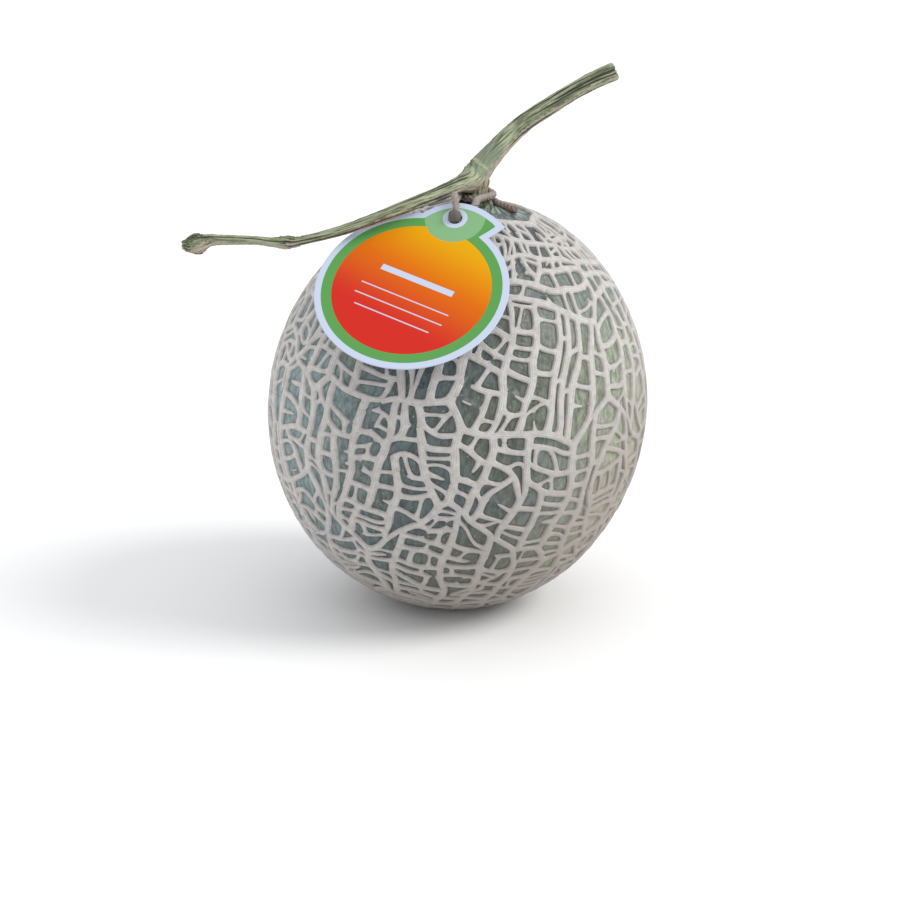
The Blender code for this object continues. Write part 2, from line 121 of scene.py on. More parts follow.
def scattered_directions(rng):
    """The bare patch with a ring round it, and loose rows of points down to the blossom end."""
    up = Vector((0, 0, 1))
    points = [up]
    rows = ((2 * BARE_PATCH_ANGLE, BARE_PATCH_SIDES), *FIRST_ROWS)
    for angle, count in rows:
        shift = rng.uniform(0, 2 * math.pi)
        for k in range(count):
            turn = shift + 2 * math.pi * (k + rng.uniform(-0.22, 0.22)) / count
            polar = angle * rng.uniform(0.92, 1.08)
            flat = math.sin(polar)
            points.append(Vector((flat * math.cos(turn), flat * math.sin(turn), math.cos(polar))))
    tilt = up.rotation_difference(BARE_PATCH_MIDDLE)
    return [tilt @ point for point in points]


def first_cells(rng):
    """One polygon around each scattered point: the dual of the points' hull."""
    hull = bmesh.new()
    for point in scattered_directions(rng):
        hull.verts.new(point)
    bmesh.ops.convex_hull(hull, input=hull.verts)
    hull.normal_update()
    hull.verts.index_update()
    hull.faces.index_update()
    cells = bmesh.new()
    corners = [cells.verts.new(face.normal) for face in hull.faces]
    for vert in hull.verts:
        east = vert.co.orthogonal().normalized()
        north = vert.co.cross(east)
        ring = sorted(
            vert.link_faces,
            key=lambda face: math.atan2(face.normal.dot(north), face.normal.dot(east)),
        )
        cells.faces.new([corners[face.index] for face in ring])
    hull.free()
    return cells


def from_stem(centre, first, last):
    """0 up to the first angle from the stem end, 1 from the last angle on."""
    return min(1.0, max(0.0, (centre.angle(Vector((0, 0, 1))) - first) / (last - first)))


def stretch_at(centre):
    """How much longer than wide a cell is, from pole to pole: under 1 round the stem, over 1 lower down."""
    low = 2.3 + 0.8 * noise.noise(centre * 3.1)
    share = from_stem(centre, 0.75, 1.2)
    return 0.4 * (1 - share) + low * share


def fine_stretch_at(centre):
    """The last splits cut the wide cells near the stem into slits, and the long cells lower down across."""
    return 1.6 - 0.65 * from_stem(centre, 0.65, 1.0) - 0.4 * from_stem(centre, 0.9, 1.9)


def crowding_at(centre):
    """Cells are smaller where this is higher: on the shoulder, and in uneven patches."""
    polar = centre.angle(Vector((0, 0, 1)))
    shoulder = 0.5 * math.exp(-(((polar - 0.45) / 0.25) ** 2))
    return 1 + shoulder + 0.45 * noise.noise(centre * 2.3 + Vector((5.1, 0.7, 2.2)))


def fine_crowding_at(centre):
    """In the last splits the cells grow finer towards the blossom end and towards the left."""
    polar = centre.angle(Vector((0, 0, 1)))
    shoulder = 1.5 * math.exp(-(((polar - 0.5) / 0.25) ** 2))
    return 1 + shoulder - 0.4 * centre.z - 0.3 * centre.x + 0.3 * noise.noise(centre * 3.3)


def flattened(face, centre, stretch):
    """The cell's corners on a sheet on which a cell of the right length is as long as wide."""
    east = Vector((0, 0, 1)).cross(centre)
    east = east.normalized() if east.length > 1e-6 else Vector((1, 0, 0))
    north = centre.cross(east)
    root = math.sqrt(stretch(centre))
    offsets = [vert.co - centre for vert in face.verts]
    return [Vector((offset.dot(east) * root, offset.dot(north) / root)) for offset in offsets]


def roundness(corners):
    """1 for a circle, less for a long or a sharp polygon."""
    area = 0.0
    around = 0.0
    for i, corner in enumerate(corners):
        before = corners[i - 1]
        area += 0.5 * (before.x * corner.y - corner.x * before.y)
        around += (corner - before).length
    return 4 * math.pi * abs(area) / around**2


def trial_cut(corners, angle, offset, shortest):
    """Where one straight cut meets the cell's sides, and how good the two halves are."""
    across = Vector((math.cos(angle), math.sin(angle)))
    sides = [corner.dot(across) - offset for corner in corners]
    halves = ([], [])
    ends = []
    clear = 1.0
    square = 1.0
    for i, corner in enumerate(corners):
        j = (i + 1) % len(corners)
        halves[sides[i] < 0].append(corner)
        if (sides[i] < 0) == (sides[j] < 0):
            continue
        share = sides[i] / (sides[i] - sides[j])
        side = corners[j] - corner
        square = min(square, abs(side.dot(across)) / side.length)
        clear = min(clear, min(share, 1 - share) * side.length * FRUIT_RADIUS / shortest)
        meeting = corner.lerp(corners[j], share)
        for half in halves:
            half.append(meeting)
        ends.append((i, share))
    if len(ends) != 2:
        return 0.0, ends
    return clear * square**1.5 * min(roundness(half) for half in halves), ends


def cut_angle(centre, rng, scatter):
    """Ridges run down the fruit or across it, with a slow drift over the fruit and some scatter."""
    drift = CUT_DRIFT * noise.noise(centre * 2.4 + Vector((3.0, 8.0, 1.0)))
    return rng.choice((0.0, math.pi / 2)) + drift + rng.gauss(0.0, scatter)


def split_cell(cells, face, rng, order, rank, shortest, stretch, scatter):
    """Cuts a cell in two by the best of a few random cuts, whose bowed ridge gets the rank.

    No side gets shorter than shortest, stretch gives the cells' shape and scatter turns the cuts.
    """
    centre = face.calc_center_median().normalized()
    corners = flattened(face, centre, stretch)
    reach = max(corner.length for corner in corners)
    best = (0.0, [])
    for _ in range(CUT_TRIES):
        angle = cut_angle(centre, rng, scatter)
        trial = trial_cut(corners, angle, rng.uniform(-0.3, 0.3) * reach, shortest)
        best = max(best, trial, key=lambda cut: cut[0])
    if not best[1]:
        return [face]
    verts = list(face.verts)
    ends = []
    for i, share in best[1]:
        edge = cells.edges.get((verts[i], verts[(i + 1) % len(verts)]))
        made = bmesh.utils.edge_split(edge, verts[i], share)[1]
        made.co.normalize()
        ends.append(made)
    first, last = ends[0].co, ends[1].co
    sideways = (last - first).cross(centre) * rng.uniform(-1, 1) * BOW_SHARE * best[0]
    middle = ((first + last) / 2 + sideways).normalized()
    half = bmesh.utils.face_split(face, ends[0], ends[1], coords=[middle])[0]
    for edge in set(face.edges) & set(half.edges):
        edge[order] = rank
    return [face, half]


def straighten_ridges(cells, order, factor):
    """Draws each corner towards its two neighbours on the older ridge, so that ridges run on in curves."""
    moves = {}
    for vert in cells.verts:
        edges = sorted(vert.link_edges, key=lambda edge: edge[order])
        if len(edges) > 2 and edges[1][order] < edges[2][order]:
            edges = edges[:2]
        target = sum((edge.other_vert(vert).co for edge in edges), Vector()) / len(edges)
        moves[vert] = vert.co.lerp(target, factor)
    for vert, place in moves.items():
        vert.co = place.normalized()


def square_rungs(cells, order, factor):
    """Slides the foot of each rung along the ridge it stands on, so that the two meet square."""
    moves = {}
    for vert in cells.verts:
        edges = sorted(vert.link_edges, key=lambda edge: edge[order])
        if len(edges) != 3 or edges[1][order] >= edges[2][order]:
            continue
        rung = edges[2].other_vert(vert).co - vert.co
        for edge in edges[:2]:
            along = edge.other_vert(vert).co - vert.co
            share = rung.dot(along) / along.length_squared
            if share > 0:
                moves[vert] = vert.co + along * min(factor * share, 0.35)
    for vert, place in moves.items():
        vert.co = place.normalized()


def split_cells(cells, order, rng, count, crowding, *manner):
    """Splits the biggest cell, weighed by crowding, until there are enough, in split_cell's manner."""
    waiting = []
    serial = 0
    for face in cells.faces:
        centre = face.calc_center_median().normalized()
        if centre.z < math.cos(BARE_PATCH_ANGLE / 2):
            heapq.heappush(waiting, (-face.calc_area() * crowding(centre), serial, face))
            serial += 1
    while len(cells.faces) < count:
        face = heapq.heappop(waiting)[2]
        rank = len(cells.faces) / COARSE_CELLS
        for half in split_cell(cells, face, rng, order, rank, *manner):
            weight = crowding(half.calc_center_median().normalized()) * rng.uniform(0.75, 1.33)
            heapq.heappush(waiting, (-half.calc_area() * weight, serial, half))
            serial += 1


def drop_slits(cells):
    """Joins each cell that is too narrow to the neighbour with which it shares the longest ridge."""
    for face in list(cells.faces):
        if not face.is_valid:
            continue
        share = 0.6 + 0.4 * from_stem(face.calc_center_median(), 0.7, 1.1)
        if 2 * face.calc_area() / face.calc_perimeter() * FRUIT_RADIUS > share * NARROWEST_CELL:
            continue
        shared = {}
        for edge in face.edges:
            other = next(near for near in edge.link_faces if near is not face)
            shared[other] = shared.get(other, 0.0) + edge.calc_length()
        bmesh.utils.face_join([face, max(shared, key=shared.get)])


def slow_push(place):
    """A push that changes slowly from place to place, the same one in every run."""
    return Vector([noise.noise(place + shift) for shift in PUSH_SHIFTS])


def pushed(place, waves, reach):
    """A place on the unit sphere after slow pushes. A wave is its share and how fast it changes."""
    pull = sum((slow_push(place * rate) * share for share, rate in waves), Vector())
    return (place + pull * reach).normalized()


def net_cells():
    """The net on the unit sphere. Its order layer is 0 on the first ridges, 1 where the solid's net ends."""
    rng = random.Random(SEED)
    cells = first_cells(rng)
    order = cells.edges.layers.float.new("order")
    split_cells(cells, order, rng, COARSE_CELLS, crowding_at, COARSE_EDGE, stretch_at, CUT_SCATTER)
    for _ in range(2):
        straighten_ridges(cells, order, 0.25)
        square_rungs(cells, order, 0.5)
    split_cells(cells, order, rng, FINE_CELLS, fine_crowding_at, FINE_EDGE, fine_stretch_at, FINE_SCATTER)
    for _ in range(2):
        square_rungs(cells, order, 0.7)
        straighten_ridges(cells, order, 0.2)
    drop_slits(cells)
    for vert in cells.verts:
        vert.co = pushed(vert.co, WANDER_WAVES, WANDER)
    return cells, order


def curve_ridges(cells, order):
    """Cuts every ridge into short steps, and bends them into the slow curves of a grown net."""
    by_cuts = {}
    for edge in cells.edges:
        cuts = round(edge.calc_length() * FRUIT_RADIUS / RIDGE_STEP) - 1
        if cuts > 0:
            by_cuts.setdefault(cuts, []).append(edge)
    for cuts, edges in sorted(by_cuts.items()):
        bmesh.ops.bisect_edges(cells, edges=edges, cuts=cuts)
    for vert in cells.verts:
        vert.co = pushed(vert.co, BEND_WAVES, BEND)
    for _ in range(3):
        straighten_ridges(cells, order, 0.5)


def ease(low, high, value):
    """A soft step from 0 at low to 1 at high."""
    share = min(1.0, max(0.0, (value - low) / (high - low)))
    return share * share * (3 - 2 * share)


def ridge_thickness(edge, order):
    """1 on the oldest, widest ridges, falling to 0 on the last, thinnest rungs."""
    return 1 - min(edge[order] * COARSE_CELLS / FINE_CELLS, 1.0)


def with_the_grain(edge):
    """1 on the favoured ridges, that run round the stem near it and down the fruit elsewhere, else 0."""
    start, end = (vert.co for vert in edge.verts)
    level = abs((end - start).normalized().dot(Vector((0, 0, 1)).cross(start).normalized()))
    down = from_stem(start, 0.85, 1.15)
    return ease(0.35, 0.9, level) * (1 - down) + (1 - ease(0.35, 0.9, level)) * down


def half_width(edge, vert, order, age, left):
    """Half the width of one ridge at one of its ends, where it flares towards an older ridge."""
    thick = ridge_thickness(edge, order) ** THINNING * (0.5 + 0.5 * with_the_grain(edge))
    thick = 0.6 * thick + 0.4 * (1 - age[vert]) * thick**0.5
    whole = 0.4 + 0.6 * min(left[end] for end in edge.verts)
    width = THINNEST_RIDGE + (WIDEST_RIDGE - THINNEST_RIDGE) * thick
    slender = 0.9 + 0.1 * from_stem(vert.co, 0.7, 1.1) - 0.12 * from_stem(vert.co, 1.5, 2.1)
    return 0.5 * width * swelling(vert.co) * whole * slender


def swelling(place):
    """Ridges swell and narrow a little along their length."""
    return 1 + 0.2 * noise.noise(place * 17.0) + 0.12 * noise.noise(place * 41.0)


def faded_rungs(cells, order, rng):
    """Some thin rungs stop short of the ridge ahead. 1 on a whole ridge, falling to 0 at such a gap."""
    left = dict.fromkeys(cells.verts, 1.0)
    for vert in list(cells.verts):
        if len(vert.link_edges) != 3:
            continue
        newest = max(vert.link_edges, key=lambda edge: edge[order])
        older = sorted(edge[order] for edge in vert.link_edges)[1]
        if newest[order] < FADED_FROM or newest[order] <= older or rng.random() > FADED_SHARE:
            continue
        run = []
        at, edge = vert, newest
        while True:
            at = edge.other_vert(at)
            if len(at.link_edges) != 2:
                break
            run.append(at)
            edge = next(other for other in at.link_edges if other is not edge)
        reach = max(2, round(len(run) * rng.uniform(*FADED_REACH)))
        for k, passed in enumerate(run[:reach]):
            left[passed] = min(left[passed], ease(0.0, 1.0, (k - 0.4) / reach))
    return left


# How the ridges' feet turn a corner: below this spread two ridges count as one straight ridge, a foot goes
# in at most this many widths and this share of the room, and feet that cross are drawn apart in a few rounds.
STRAIGHT_SPREAD = 0.2
LONGEST_STEP = 1.8
ROOM_SHARE = 0.72
UNCROSSING_ROUNDS = 24
LEAST_SIDE = 0.1
PULLED_APART = 0.06


def inner_loop(corners, outward, widths, widths_before):
    """Where the ridges' feet stand round one cell: each corner is moved in from the ridges on both sides."""
    ahead = np.roll(corners, -1, axis=0) - corners
    after = np.cross(outward, ahead)
    after /= np.linalg.norm(after, axis=1, keepdims=True)
    before = np.roll(after, 1, axis=0)
    bend = np.sum(before * after, axis=1)
    spread = 1 - bend**2
    straight = 0.25 * (widths + widths_before)[:, None] * (before + after)
    corner_before = (widths_before - bend * widths)[:, None] * before
    corner_after = (widths - bend * widths_before)[:, None] * after
    turned = (corner_before + corner_after) / spread[:, None]
    offset = np.where(spread[:, None] < STRAIGHT_SPREAD, straight, turned)
    length = np.linalg.norm(offset, axis=1)
    widest = np.maximum(widths, widths_before)
    normal = offset / length[:, None]
    gaps = corners[None] - corners[:, None]
    facing = normal @ normal.T < -0.5
    depth = np.einsum("ijk,ik->ij", gaps, normal)
    room = np.where(facing & (depth > 0), np.sum(gaps**2, axis=2) / np.maximum(2 * depth, 1e-9), 1.0)
    reach = np.minimum(length, np.minimum(LONGEST_STEP * widest, ROOM_SHARE * room.min(axis=1)))
    feet = corners + normal * reach[:, None]
    for _ in range(UNCROSSING_ROUNDS):
        run = np.roll(feet, -1, axis=0) - feet
        share = np.sum(run * ahead, axis=1) / np.sum(ahead**2, axis=1)
        crossed = share < LEAST_SIDE
        if not crossed.any():
            break
        middle = feet + 0.5 * run
        here = np.where(crossed[:, None], middle - PULLED_APART * ahead - feet, 0.0)
        there = np.where(crossed[:, None], middle + PULLED_APART * ahead - np.roll(feet, -1, axis=0), 0.0)
        hits = crossed.astype(float) + np.roll(crossed, 1)
        feet += (here + np.roll(there, 1, axis=0)) / np.maximum(hits, 1.0)[:, None]
    feet += 0.5 * (0.5 * (np.roll(feet, 1, axis=0) + np.roll(feet, -1, axis=0)) - feet)
    return feet


# A ridge's section from its middle to its foot: how far out, how high, and the mark that the finish reads.
RIDGE_SECTION = ((0.56, 1.0, 0.55), (0.9, 0.74, 0.86), (1.0, 0.0, 1.0))
MIDDLE_HEIGHT = 0.93
FADED_MARK = 1.3
FLOOR_MARK = 1.6
FLOOR_CROWN = 0.12 * MM


def raise_net(cells, order):
    """Turns the drawn net into the rind with its ridges, as one closed skin in the part's frame."""
    rng = random.Random(SEED + 1)
    mark = cells.verts.layers.float.new("net")
    bare = cells.verts.layers.float.new("bare")
    left = faded_rungs(cells, order, rng)
    high = {}
    age = {}
    for vert in cells.verts:
        thick = max(ridge_thickness(edge, order) for edge in vert.link_edges)
        high[vert] = (LOWEST_RIDGE + (HIGHEST_RIDGE - LOWEST_RIDGE) * thick) * (0.5 + 0.5 * swelling(vert.co))
        age[vert] = 1 - thick
    ground = {vert: rind_point(vert.co, 0.0) for vert in cells.verts}
    upward = {vert: (rind_point(vert.co, MM) - ground[vert]).normalized() for vert in cells.verts}
    bareness = {vert: 1 - ease(*SLATE_FADES, vert.co.angle(BARE_PATCH_MIDDLE)) for vert in cells.verts}
    faces = list(cells.faces)
    plans = {}
    for face in faces:
        verts = [loop.vert for loop in face.loops]
        corners = np.array([ground[vert] for vert in verts])
        outward = np.array([upward[vert] for vert in verts])
        sides = [loop.edge for loop in face.loops]
        both_widths = [
            np.array([half_width(edge, vert, order, age, left) for edge, vert in zip(edges, verts)])
            for edges in (sides, sides[-1:] + sides[:-1])
        ]
        plans[face] = dict(zip(verts, inner_loop(corners, outward, *both_widths)))
    source = {vert: vert for vert in cells.verts}
    for vert in cells.verts:
        vert.co = ground[vert] + upward[vert] * (high[vert] * MIDDLE_HEIGHT * left[vert])
        vert[mark] = FADED_MARK * (1 - left[vert])
        vert[bare] = bareness[vert]
    for out, up, value in RIDGE_SECTION:
        bmesh.ops.inset_individual(cells, faces=faces, thickness=0.0)
        for face in faces:
            plan = plans[face]
            own = set(face.edges)
            for vert in face.verts:
                partner = next(edge.other_vert(vert) for edge in vert.link_edges if edge not in own)
                root = source[partner]
                source[vert] = root
                foot = Vector(plan[root])
                vert.co = ground[root].lerp(foot, out) + upward[root] * (high[root] * up * left[root])
                vert[mark] = max(value, FADED_MARK * (1 - left[root]))
                vert[bare] = bareness[root]
        if up == 0.0:
            for face in faces:
                for edge in face.edges:
                    edge.smooth = min(left[source[vert]] for vert in edge.verts) < 0.4
    poked = bmesh.ops.poke(cells, faces=faces)
    for vert in poked["verts"]:
        near = [edge.other_vert(vert).co for edge in vert.link_edges]
        direction = direction_at(vert.co)
        reach = min((place - vert.co).length for place in near)
        vert.co = rind_point(direction, min(FLOOR_CROWN, 0.05 * reach))
        vert[mark] = FLOOR_MARK
        vert[bare] = 1 - ease(*SLATE_FADES, direction.angle(BARE_PATCH_MIDDLE))
    for vert in cells.verts:
        vert.co.z = max(vert.co.z, 0.0)
    for face in cells.faces:
        face.smooth = True


def add_node(tree, kind, inputs=(), **settings):
    """Adds a shader node. An input's value is a constant or another node's socket."""
    made = tree.nodes.new("ShaderNode" + kind)
    for name, value in settings.items():
        setattr(made, name, value)
    for key, value in dict(inputs).items():
        if isinstance(value, bpy.types.NodeSocket):
            tree.links.new(value, made.inputs[key])
        else:
            made.inputs[key].default_value = value
    return made


def new_finish(name, roughness):
    """A material with nothing but its Principled BSDF, and that node."""
    finish = bpy.data.materials.new(name)
    finish.use_nodes = True
    shader = finish.node_tree.nodes["Principled BSDF"]
    shader.inputs["Roughness"].default_value = roughness
    return finish, finish.node_tree, shader


def mixed(tree, factor, first, second, blend_type="MIX"):
    """The socket of a mix of two colours."""
    node = add_node(tree, "Mix", data_type="RGBA", blend_type=blend_type)
    for index, value in ((0, factor), (6, first), (7, second)):
        if isinstance(value, bpy.types.NodeSocket):
            tree.links.new(value, node.inputs[index])
        else:
            node.inputs[index].default_value = value
    return node.outputs[2]


def stepped(tree, value, low, high, bottom=0.0, top=1.0):
    """The socket of a soft step, from bottom where the value is low to top where it is high."""
    inputs = {"Value": value, "From Min": low, "From Max": high, "To Min": bottom, "To Max": top}
    return add_node(tree, "MapRange", inputs, interpolation_type="SMOOTHSTEP").outputs[0]


def tinted(tree, colour, paint, mark, low, high, most=1.0):
    """The socket of a colour with paint on it where a mark is high, and at most that share of paint."""
    return mixed(tree, stepped(tree, mark, low, high, 0.0, most), colour, paint)


def sums(tree, operation, first, second=0.0, third=0.0):
    """The socket of a sum, product or other operation on numbers."""
    return add_node(tree, "Math", {0: first, 1: second, 2: third}, operation=operation).outputs[0]


def painted(tree, name, output="Fac"):
    """The socket of a mark that the mesh carries."""
    return add_node(tree, "Attribute", attribute_name=name).outputs[output]


def axes_of(tree, vector):
    """The three sockets of a place's x, y and z."""
    return add_node(tree, "SeparateXYZ", {0: vector}).outputs


def vector_of(tree, x, y, z):
    return add_node(tree, "CombineXYZ", {0: x, 1: y, 2: z}).outputs[0]


def drawn_out(tree, vector, scale):
    """The socket of a place that is stretched or squeezed, so that a pattern on it runs lengthwise."""
    return add_node(tree, "Mapping", {"Vector": vector, "Scale": scale}).outputs[0]


def shaded(tree, colour, shade):
    """The socket of a colour made darker or lighter by a factor."""
    return mixed(tree, 1.0, colour, vector_of(tree, shade, shade, shade), "MULTIPLY")


def noisy(tree, vector, scale, detail=2.0, roughness=0.5):
    inputs = {"Vector": vector, "Scale": scale, "Detail": detail, "Roughness": roughness}
    return add_node(tree, "TexNoise", inputs).outputs["Fac"]


def coat(tree, shader, colour, height, strength, depth):
    """Gives the shader its colour, and a bump from a height."""
    tree.links.new(colour, shader.inputs["Base Color"])
    bump = add_node(tree, "Bump", {"Height": height, "Strength": strength, "Distance": depth})
    tree.links.new(bump.outputs[0], shader.inputs["Normal"])


def from_middle(tree):
    """Object coordinates turned into the fruit's own: its middle at 0, its stem end along +Z."""
    place = add_node(tree, "TexCoord").outputs["Object"]
    spot = fruit_centre()
    turn = {"Location": spot, "Rotation": (0, FRUIT_LEAN, 0)}
    return add_node(tree, "Mapping", {"Vector": place, **turn}, vector_type="TEXTURE").outputs[0]


RIND_BLUE = (0.071, 0.096, 0.099, 1)
RIND_GREEN = (0.094, 0.106, 0.079, 1)
RIND_OLIVE = (0.115, 0.100, 0.078, 1)
RIND_SLATE = (0.050, 0.062, 0.085, 1)
RIND_PALE_GREEN = (0.30, 0.40, 0.27, 1)
CORK_PALE = (0.53, 0.515, 0.50, 1)
CORK_GREY = (0.43, 0.41, 0.395, 1)
# The next colour is painted shade, laid on the cork towards the fruit's bottom and right.
CORK_PAINTED_SHADE = (0.30, 0.26, 0.235, 1)
# The next colour draws the cork's real grooves, and is also painted shade down the ridges' steep sides.
CORK_GROOVE_AND_SHADE = (0.26, 0.22, 0.19, 1)


def rind_finish():
    finish, tree, shader = new_finish("netted_rind", 0.6)
    own = from_middle(tree)
    net_mark = painted(tree, "net")
    axes = axes_of(tree, own)
    ring = vector_of(tree, axes[0], axes[1], 0.0)
    around = axes_of(tree, add_node(tree, "VectorMath", {0: ring}, operation="NORMALIZE").outputs[0])
    meridians = vector_of(tree, around[0], around[1], sums(tree, "MULTIPLY", axes[2], 6.0))

    streaks = noisy(tree, meridians, 42.0, 3.0, 0.65)
    patches = sums(tree, "MULTIPLY_ADD", axes[0], 3.5, noisy(tree, own, 30.0, 2.0))
    floor_colour = tinted(tree, RIND_BLUE, RIND_GREEN, patches, 0.3, 0.75)
    floor_colour = shaded(tree, floor_colour, stepped(tree, streaks, 0.34, 0.66, 0.62, 1.28))
    low_and_right = sums(tree, "MULTIPLY_ADD", axes[2], -1.0, axes[0])
    floor_colour = tinted(tree, floor_colour, RIND_OLIVE, low_and_right, 0.02, 0.09, 0.75)
    # Painted light: the floors between the ridges are a little darker in the fruit's middle and up to 2.7
    # times lighter towards its left and right sides.
    painted_light_side = sums(tree, "ABSOLUTE", axes[0])
    floor_colour = shaded(tree, floor_colour, stepped(tree, painted_light_side, 0.014, 0.062, 0.95, 2.7))
    floor_colour = tinted(tree, floor_colour, RIND_PALE_GREEN, noisy(tree, own, 900.0), 0.62, 0.74, 0.35)
    wide = add_node(tree, "VectorMath", {0: ring}, operation="LENGTH").outputs["Value"]
    polar = sums(tree, "ARCTAN2", wide, axes[2])
    bare = painted(tree, "bare")
    floor_colour = mixed(tree, sums(tree, "MULTIPLY", bare, 0.9), floor_colour, RIND_SLATE)
    rays = vector_of(tree, around[0], around[1], sums(tree, "MULTIPLY", polar, 1.6))
    ray = stepped(tree, noisy(tree, rays, 9.0, 3.0, 0.6), 0.43, 0.62)
    near_stalk = stepped(tree, polar, 0.34, 0.08)
    floor_colour = mixed(tree, sums(tree, "MULTIPLY", ray, near_stalk), floor_colour, RIND_PALE_GREEN)

    grain = noisy(tree, own, 420.0, 4.0, 0.6)
    lines = sums(tree, "SINE", sums(tree, "MULTIPLY_ADD", net_mark, 15.0, sums(tree, "MULTIPLY", grain, 7.0)))
    cork_colour = tinted(tree, CORK_GREY, CORK_PALE, grain, 0.35, 0.65)
    cork_colour = tinted(tree, cork_colour, CORK_GROOVE_AND_SHADE, lines, 0.30, 1.0, 0.5)
    # Painted shade: the cork turns darker and warmer towards the fruit's bottom and right.
    cork_colour = tinted(tree, cork_colour, CORK_PAINTED_SHADE, low_and_right, 0.0, 0.085, 0.8)
    # Painted light: the cork is made up to 1.2 times lighter towards the fruit's left side.
    cork_colour = shaded(tree, cork_colour, stepped(tree, axes[0], -0.035, -0.066, 1.0, 1.2))
    # Painted shade: the cork darkens down the ridges' steep sides to their feet.
    cork_colour = tinted(tree, cork_colour, CORK_GROOVE_AND_SHADE, net_mark, 0.80, 1.0, 0.4)
    on_floor = stepped(tree, net_mark, 0.96, 1.02)
    colour = mixed(tree, on_floor, cork_colour, floor_colour)
    rough = sums(tree, "MULTIPLY_ADD", on_floor, -0.42, 0.86)
    tree.links.new(rough, shader.inputs["Roughness"])
    coat(tree, shader, colour, sums(tree, "MULTIPLY_ADD", lines, 0.25, grain), 0.5, 0.3 * MM)
    return finish


def add_object(name, data):
    made = bpy.data.objects.new(name, data)
    bpy.context.scene.collection.objects.link(made)
    return made


def add_shape(name, bm):
    """An object of a bmesh, which is then freed."""
    mesh = bpy.data.meshes.new(name)
    bm.to_mesh(mesh)
    bm.free()
    return add_object(name, mesh)


def place_piece(name, bm, finish, node):
    """Makes a finished mesh a piece that stands for one of the solids."""
    piece = add_shape(name, bm)
    piece.data.materials.append(finish)
    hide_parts(node)
    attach(piece, "root")
    return piece


net, net_order = net_cells()
curve_ridges(net, net_order)
raise_net(net, net_order)
bmesh.ops.triangulate(net, faces=net.faces)
place_piece("netted_fruit", net, rind_finish(), "fruit")


# The piece of vine that the fruit hangs from, cut off on both sides of its node: a ribbed, half-dried
# green stalk with brown woody edges, painted browner still where the skin faces away from LIT_SIDE as painted
# light and shade, and with painted shade in its furrows. The short stalk grows from the node into the fruit's
# stem end.
VINE_ROUTE = (
    (-106.3, -38.7, -8.6, 1.2),
    (-104.3, -38.7, -8.5, 2.3),
    (-101.2, -38.7, -7.9, 3.3),
    (-98.6, -38.5, -7.2, 2.5),
    (-95, -37.7, -6.7, 1.9),
    (-82, -35.7, -7.2, 1.5),
    (-76, -34.7, -8.1, 1.7),
    (-71, -33.7, -8.4, 2.2),
    (-66, -33.2, -7.9, 1.7),
    (-51, -32.8, -4.1, 1.8),
    (-35, -30.2, 1.5, 2.1),
    (-19, -19.4, 6.2, 2.4),
    (-12, -10.8, 8.1, 2.8),
    (-6.2, -1.5, 9.6, 4.5),
    (0.0, 3.0, 16.7, 3.9),
    (9.7, 7.6, 26.1, 3.2),
    (19.9, 11, 32.7, 3.0),
    (34.7, 15, 41.1, 3.0),
    (45, 17, 45.7, 3.2),
)
STALK_ROUTE = (
    (-4.8, -0.8, -0.9, 5.6),
    (-4.9, -0.8, 0.9, 4.4),
    (-5.1, -0.7, 3.0, 3.6),
    (-5.2, -0.5, 5.0, 3.7),
    (-5.3, -0.3, 7.5, 4.6),
    (-5.8, -0.2, 10.5, 4.8),
)
LIT_SIDE = Vector((-0.6, -0.35, 0.7)).normalized()
LEAF_SCAR = ((-6.2, -1.2, 11.5, 3.0), (-7.4, -1.8, 13.2, 2.2), (-7.9, -2.0, 14.0, 1.7))
ROUTE_STEP = 1.0 * MM
VINE_VOXEL = 0.34 * MM
VINE_TWIST = 0.012
BEND_AT = 36.8
NODE_AT = 117.8
CREASE_AT = 121.8
CRUMPLED_TIP = (6.0, 13.0)
BEND_SPREAD = 3.5
CREASE_SPREAD = 0.7
VINE_SMOOTHINGS = 7
VINE_FURROWS = (
    (0.35, 0.15, 0.15), (0.85, 0.18, 0.18), (1.45, 0.15, 0.14), (2.4, 0.19, 0.18), (3.0, 0.15, 0.12),
    (3.9, 0.18, 0.16), (4.7, 0.17, 0.14), (5.5, 0.15, 0.12),
)


def smooth_route(points, step):
    """Rows of (x, y, z, radius) on a smooth curve through the given rows, about a step apart."""
    rows = [Vector(point) for point in points]
    rows = [2 * rows[0] - rows[1], *rows, 2 * rows[-1] - rows[-2]]
    route = []
    for before, start, end, after in zip(rows, rows[1:], rows[2:], rows[3:]):
        count = max(1, round((end - start).xyz.length / step))
        for k in range(count):
            t = k / count
            bend = (end - before) * t + (2 * before - 5 * start + 4 * end - after) * t**2
            bend += (3 * start - before - 3 * end + after) * t**3
            route.append(start + bend / 2)
    route.append(rows[-2])
    return route


def from_stem_end(route):
    """Rows of (x, y, z, radius) in mm from the fruit's stem end, as metres in the part's frame."""
    top = rind_point((0, 0, 1), 0.0)
    return [(top.x + x * MM, top.y + y * MM, top.z + z * MM, radius * MM) for x, y, z, radius in route]


def taken_from(guide):
    """A bmesh of an object as its curve or modifiers shape it. The object is then removed."""
    graph = bpy.context.evaluated_depsgraph_get()
    mesh = bpy.data.meshes.new_from_object(guide.evaluated_get(graph))
    bpy.data.objects.remove(guide)
    made = bmesh.new()
    made.from_mesh(mesh)
    bpy.data.meshes.remove(mesh)
    return made


